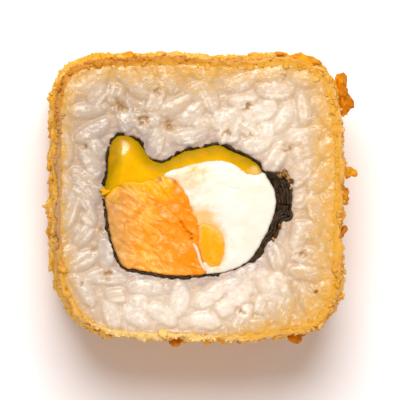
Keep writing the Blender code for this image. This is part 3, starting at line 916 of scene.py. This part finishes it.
# The nori.
def sheet_wall(line, closed, thickness, top, bottom):
    """Vertices and faces of an upright sheet along a line, from a bottom to a top at each point."""
    normal = unit(np.column_stack([np.gradient(line[:, 1]), -np.gradient(line[:, 0])]))
    if closed:
        normal = outward(line)
    rows = len(SHEET_ROWS)
    bottom = np.reshape(bottom, (-1, 1))
    z = bottom + (top[:, None] - bottom) * SHEET_ROWS
    place = np.column_stack([np.repeat(line, rows, axis=0), z.ravel()])
    out = np.repeat(np.column_stack([normal, np.zeros(len(line))]), rows, axis=0)
    wrinkle = 0.00024 * rough(place, 0.0014, 3)
    half = 0.5 * thickness * (1 + 0.9 * rough(place, 0.0008, 2, 7))
    outer, inner = (
        (place + out * way[:, None]).reshape(-1, rows, 3) for way in (wrinkle + half, wrinkle - half)
    )
    ring = np.concatenate([outer, inner[:, ::-1]], axis=1)
    return ring.reshape(-1, 3), tube_faces(*ring.shape[:2], closed)


def nori_material():
    """Damp seaweed: black-brown, streaked and slightly glossy."""
    finish = Finish("nori", 0.55, (28, 17, 5), 0.25)
    streak = finish.noise(0.0006, 4, (3, 1, 1), 0.9)
    finish.paint((72, 48, 18), streak, 0.35, 0.7)
    finish.paint((98, 70, 30), finish.noise(0.0004), 0.6, 0.8, 0.5)
    finish.set("Roughness", finish.spread(streak, 0.3, 0.7, 0.45, 0.65))
    finish.bump(streak, 0.00015, 0.8)
    return finish.finished()


def widened(outer):
    """The nori's outer line, pushed out where its end overlaps it on the right."""
    extra = by_angle(angle_of(outer), NORI_SPREAD) / 1000
    return grown(outer, extra + 0.00018 * rough(outer, 0.0009, 2, 6.0))


def nori_fade(line):
    """How far the rice covers the sheet's edge at each point."""
    return swellings(line, NORI_FADES) / 1000


def make_nori(outer):
    """The sheet round the filling and its overlapping end, which slopes down on the right."""
    line = grown(outer, -NORI_THICKNESS / 2)
    ragged = 0.00040 * rough(line, 0.0020, 2) + 0.00020 * rough(line, 0.0005, 2)
    top = HEIGHT - 0.00012 + ragged - 1.5 * nori_fade(line)
    bottom = 0.0001 + 0.5 * abs(ragged)
    points, faces = sheet_wall(line, True, NORI_THICKNESS, top, bottom)
    angle = np.degrees(angle_of(line))
    for turn, (start, end) in enumerate(NORI_FOLDS, 1):
        chosen = np.nonzero((angle > start) & (angle < end))[0]
        t = (angle[chosen] - start) / (end - start)
        shift = turn * 0.00042 * np.minimum(1, 4 * np.minimum(t, 1 - t)) ** 0.6
        fold = line[chosen] - outward(line)[chosen] * shift[:, None]
        fold_top = HEIGHT - 0.0001 - 0.00016 * turn + 0.00022 * rough(fold, 0.0013, 3, turn)
        fold_bottom = 0.0003 + 0.0001 * turn
        more, more_faces = sheet_wall(fold, False, FOLD_THICKNESS, fold_top, fold_bottom)
        faces += [[v + len(points) for v in f] for f in more_faces]
        points = np.vstack([points, more])
    new_piece("nori_sheet", points, faces, nori_material(), "nori")


# The foods of the filling.
def mirrored(height, least=0.0001):
    """The lower cut face's height, from the relief of the upper one."""
    return np.maximum(GAP - 0.6 * height, least)


def food(name, node, relief, values_at, material, most=FOOD_OVERLAP):
    """One food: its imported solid's outline, a little larger, under a carved relief."""
    loop = resampled(section(node)[0], 0.0003)
    angle = np.degrees(angle_of(loop))
    bare = held(1 - abs(angle + 16) / 34) * (np.linalg.norm(loop, axis=1) > 0.008)
    loop = grown(loop, most * (1 - 0.7 * np.minimum(1, 3 * bare)) + 0.00014 * rough(loop, 0.0009, 2))

    def surfaces(points, depth):
        height = relief(points, depth)
        values = values_at(points, depth, height)
        return (HEIGHT + height, values), (mirrored(height), values)

    points, faces, values = slab([loop], FOOD_CELL, surfaces)
    new_piece(name, points, faces, material, node, values)


def cream_relief(points, depth):
    """Soft cream cheese, spread with a knife, with three dents."""
    height = 0.00005 + 0.00055 * (1 - np.exp(-depth / 0.0022)) - rounded(depth, 0.00025)
    height += 0.00012 * rough(points, 0.0032, 2)
    height += 0.00002 * strands(points, math.radians(25), 0.004, 0.0007)
    for x, y, degrees in CREAM_DENTS:
        along, across = turned(points - (x, y), math.radians(degrees))
        across -= 0.0003 * np.sin(along / 0.0006)
        height -= 0.00012 * np.exp(-((across / 0.00014) ** 2) - (along / 0.0014) ** 2)
    return height


def salmon_relief(points, depth):
    """Flesh in fibres with cracks between its flakes, and one deep groove."""
    flakes = strands(points, SALMON_FIBRES, 0.0060, 0.0024, 3.0, 0.0010)
    cracks = held(1 - abs(flakes) / 0.12)
    height = 0.00040 * rough(points, 0.0024, 2, 5.0) + 0.00005 * rough(points, 0.0006, 2, 2.0)
    height += 0.00010 * strands(points, SALMON_FIBRES, 0.0026, 0.00085, 9.0) - 0.00024 * cracks
    start, end = SALMON_GROOVE
    side = end - start
    t = held((points - start) @ side / (side @ side))
    ragged = points + wandering(points, 0.0006, 0.0012, 2)
    groove = np.linalg.norm(ragged - start - t[:, None] * side, axis=1)
    height -= 0.0008 * np.exp(-((groove / 0.00024) ** 2))
    return height + 0.0002 - rounded(depth, 0.0004)


def melted_relief(points, depth):
    """A thin run of cheese with a bulb at its left end."""
    height = 0.00030 * (1 - np.exp(-depth / 0.0007)) - rounded(depth, 0.00022) - 0.0001
    along, across = turned(points - BULB_PLACE, BULB_TURN)
    height += 0.0008 * np.exp(-((along / 0.0036) ** 2) - (across / 0.0021) ** 2)
    return height + 0.00010 * rough(points, 0.0020, 2)


def dab_relief(points, depth):
    """A domed drop."""
    height = 0.00055 * (1 - np.exp(-depth / 0.0009)) - rounded(depth, 0.0002)
    return height + 0.00006 * rough(points, 0.0016, 1)


def make_bit(name, node, loop, rise, values, material):
    """A small piece of a food lying on the cut face."""
    def surfaces(points, depth):
        height = 0.0002 + rise * (1 - np.exp(-depth / 0.00015)) - rounded(depth, 0.0001)
        filled = {key: np.full(len(points), value) for key, value in values.items()}
        return (HEIGHT + height, filled), (np.full(len(points), HEIGHT - 0.003), filled)

    points, faces, filled = slab([resampled(loop, 0.0001)], 0.00006, surfaces)
    new_piece(name, points, faces, material, node, filled)


def make_smear(material):
    """A thin line of cream cheese between the salmon and the drop of melted cheese."""
    start, end = CREAM_SMEAR
    side = unit(end - start)
    across = np.array([-side[1], side[0]])
    t = np.linspace(0, 1, 24)
    middle = start + t[:, None] * (end - start) + across * (0.00012 * np.sin(7 * t))[:, None]
    half = 0.00020 + 0.00016 * t + 0.00006 * np.sin(5 * t + 1)
    half *= np.minimum(1, 6 * np.minimum(t, 1 - t) + 0.25)
    aside = across * half[:, None]
    loop = np.vstack([middle - aside, (middle + aside)[::-1]])
    make_bit("cream_cheese_smear", "cream_cheese", loop, 0.00030, {"tint": 0.6}, material)


def make_leak(material):
    """Melted cheese that has come out through a tear in the nori on the left."""
    angle = np.linspace(0, 2 * math.pi, 40, endpoint=False)
    reach = 1 + 0.25 * np.sin(3 * angle + 1) + 0.12 * np.sin(5 * angle)
    loop = np.column_stack([0.00075 * reach * np.cos(angle), 0.00050 * reach * np.sin(angle)])
    values = {"wrap": 0.8, "amber": 0.2, "gloss": 0.2, "thin": 0}
    make_bit("melted_cheese_leak", "melted_cheese", loop + LEAK_PLACE, 0.00025, values, material)


def cheese_material():
    """Cream cheese, stained orange beside the salmon and the drop."""
    soft, coat = (0.3, (1.0, 0.85, 0.65), 0.0012), (0.1, 0.3)
    finish = Finish("cream_cheese", 0.45, (236, 232, 218), soft=soft, coat=coat)
    finish.paint((234, 225, 202), finish.noise(0.003), 0.35, 0.7)
    finish.paint((240, 186, 104), finish.uneven("tint", 0.0009, 0.25), 0.25, 1.0, 0.9)
    finish.bump(finish.noise(0.0005, 2, (3, 1, 1), 0.4), 0.00002, 0.4)
    return finish.finished()


def salmon_material():
    """Cooked salmon: orange, with pale fibres, deeper along its right side and paler on its left."""
    finish = Finish("salmon", 0.45, (240, 146, 16), 0.2, (0.25, (1.0, 0.45, 0.2), 0.0009), (0.05, 0.15))
    fibre = finish.noise(0.0012, 3, (3, 1, 1), SALMON_FIBRES, 0.8)
    finish.paint((243, 164, 54), finish.noise(0.0026), 0.35, 0.65)
    finish.paint((250, 196, 92), fibre, 0.52, 0.66, 0.7)
    finish.paint((230, 122, 4), fibre, 0.45, 0.32, 0.55)
    finish.paint((252, 208, 116), finish.noise(0.0011, distortion=0.6), 0.56, 0.70, 0.5)
    finish.paint((240, 140, 1), finish.uneven("edge", 0.0026, 0.3), 0.15, 0.65, 0.95)
    finish.paint((192, 146, 86), finish.value("pale"), most=0.75)
    sauce = finish.uneven("sauce", 0.0011, 0.35, distortion=0.6)
    finish.paint((238, 176, 14), sauce, 0.35, 0.9, 0.9)
    # Darker orange in the groove and cracks, as painted shade, and on the burnt spots.
    finish.paint((180, 92, 6), finish.value("deep"), 0.30, 0.9, 0.75)
    finish.set("Roughness", finish.spread(finish.noise(0.0008, 2), 0.35, 0.65, 0.25, 0.5))
    finish.bump(finish.noise(0.0006, 3, (3, 1, 1), SALMON_FIBRES), 0.00006, 0.5)
    return finish.finished()


def melted_material():
    """Melted cheese: olive beside the nori, partly as painted shade, yellow inside, amber in the drop,
    with thin pale edges and a painted highlight at the run's right tip.
    """
    soft, coat = (0.25, (1.0, 0.6, 0.1), 0.0010), (0, 0.22)
    finish = Finish("melted_cheese", 0.38, (168, 131, 1), 0.03, soft, coat)
    finish.set("Coat Weight", finish.spread(finish.value("gloss"), 0.1, 0.9, 0, 0.9))
    # Yellow away from the nori; the olive beside it is partly painted shade.
    finish.paint((235, 175, 6), finish.uneven("wrap", 0.0015, 0.10), 0.10, 1.1)
    finish.paint((242, 164, 18), finish.value("amber"))
    finish.paint((226, 144, 4), finish.noise(0.0016, 4), 0.52, 0.72, 0.5)
    mottle = finish.spread(finish.noise(0.0013), 0.48, 0.66, 0, 0.8)
    finish.paint((240, 182, 62), finish.math("MULTIPLY", finish.value("amber"), mottle))
    # Paler on thin edges, and a painted highlight at the run's right tip.
    finish.paint((243, 196, 118), finish.uneven("thin", 0.0008, 0.2), 0.25, 1.1, 0.8)
    finish.bump(finish.noise(0.0010, 2), 0.00006, 0.4)
    return finish.finished()


def make_filling(nori_inner):
    """The foods inside the nori. Each has a function that says where its stains, edges, painted shade
    and painted highlights lie.
    """
    melted = melted_material()

    def away(points, node):
        """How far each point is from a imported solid's outline."""
        return nearest(section(node)[0], points)[0]

    def cream_values(points, depth, height):
        near = np.minimum(away(points, "melted_cheese_dab") * 0.7, away(points, "salmon") * 1.5)
        return {"tint": np.clip(np.exp(-near / 0.0005) + swellings(points, CREAM_STAINS), 0, 1.2)}

    def salmon_values(points, depth, height):
        right = held(1 - (0.0002 - points[:, 0] - 0.25 * (points[:, 1] + 0.003)) / 0.0085)
        left = held((-points[:, 0] - 0.0085 + 0.0008 * rough(points, 0.002, 2)) / 0.004)
        # Lower places get painted shade; the stains are burnt spots.
        deep = -height / 0.0006 + swellings(points, SALMON_STAINS)
        sauce = np.exp(-away(points, "melted_cheese") / 0.0015) + swelling(points, -5.5, 1.0, 2.4, 0.6)
        return {"edge": right, "pale": left, "deep": deep, "sauce": sauce}

    def melted_values(points, depth, height):
        gloss = swelling(points, -11.5, 7.0, 1.6)
        # The olive beside the nori and left of the bulb is partly painted shade.
        wrap = nearest(nori_inner, points)[0] / 0.0018 - swelling(points, -12.6, 6.2, 2.2, 0.35)
        # Pale on thin edges by the cream cheese, with a painted highlight at the run's right tip.
        thin = 0.6 * np.exp(-away(points, "cream_cheese") / 0.0005) + swelling(points, 8.0, 4.2, 0.8)
        return {"wrap": wrap, "amber": np.zeros(len(points)), "gloss": gloss, "thin": thin}

    def dab_values(points, depth, height):
        upper = held((points[:, 1] + 0.0066) / 0.0022)
        thin = 0.9 * np.exp(-depth / 0.0004) + 0.5 * upper * np.exp(-depth / 0.0009)
        amber, gloss = 1 - 0.3 * upper, 0.3 - 0.2 * upper
        return {"wrap": np.ones(len(points)), "amber": amber, "gloss": gloss, "thin": thin}

    cheese = cheese_material()
    food("cream_cheese_spread", "cream_cheese", cream_relief, cream_values, cheese)
    make_smear(cheese)
    food("salmon_flesh", "salmon", salmon_relief, salmon_values, salmon_material())
    food("melted_cheese_run", "melted_cheese", melted_relief, melted_values, melted)
    food("melted_cheese_drop", "melted_cheese_dab", dab_relief, dab_values, melted, DAB_OVERLAP)
    make_leak(melted)


# Stage.
def make_stage():
    """A pale floor, soft light from behind the piece and a weak, low fill from the front."""
    bpy.ops.mesh.primitive_plane_add(size=3)
    floor = bpy.context.object
    floor.name = "floor"
    finish = Finish("pale_floor", 0.7, (246, 243, 243))
    finish.paint((248, 246, 246), finish.noise(0.05, 2))
    floor.data.materials.append(finish.finished())

    world = bpy.data.worlds.new("studio")
    bpy.context.scene.world = world
    world.use_nodes = True
    nodes, links = world.node_tree.nodes, world.node_tree.links
    path, choice = nodes.new("ShaderNodeLightPath"), nodes.new("ShaderNodeMixShader")
    links.new(path.outputs["Is Camera Ray"], choice.inputs[0])
    backdrop = nodes.new("ShaderNodeBackground")
    for k, node, colour, strength in (
        (1, nodes["Background"], (1.0, 0.84, 0.80, 1), 0.36),
        (2, backdrop, (0.95, 0.94, 0.93, 1), 1.0),
    ):
        node.inputs["Color"].default_value = colour
        node.inputs["Strength"].default_value = strength
        links.new(node.outputs[0], choice.inputs[k])
    links.new(choice.outputs[0], nodes["World Output"].inputs[0])

    for name, place, size, power, colour in (
        ("low_fill", (0.25, -0.80, 0.20), 0.5, 2.2, (1.0, 0.98, 0.92)),
        ("key", (-0.04, 0.36, 0.75), 0.42, 7.2, (0.96, 0.98, 1.0)),
    ):
        data = bpy.data.lights.new(name, "AREA")
        data.shape = "DISK"
        data.size = size
        data.energy = power
        data.color = colour
        light = added(name, data)
        light.location = place
        light.rotation_euler = (-Vector(place)).to_track_quat("-Z", "Y").to_euler()


def make_camera():
    """A long lens above the piece and a little to its upper left."""
    middle = (cad_low + cad_high) / 2
    middle.z = HEIGHT
    data = bpy.data.cameras.new("camera")
    data.sensor_width = 36
    data.lens = data.sensor_width * CAMERA_PLACE[2] / SHOWN_WIDTH
    camera = added("camera", data)
    camera.location = middle + Vector(CAMERA_PLACE)
    ahead = (middle - camera.location).normalized()
    right = ahead.cross(Vector((0, 1, 0))).normalized()
    camera.rotation_euler = Matrix((right, right.cross(ahead), -ahead)).transposed().to_euler()
    bpy.context.scene.camera = camera
    bpy.context.scene.view_settings.view_transform = "Standard"


nori_outer, nori_inner = section("nori")
nori_outer = widened(resampled(nori_outer, 0.0002))
make_stage()
make_camera()
make_crust()
make_rice(nori_outer)
make_nori(nori_outer)
make_filling(nori_inner)
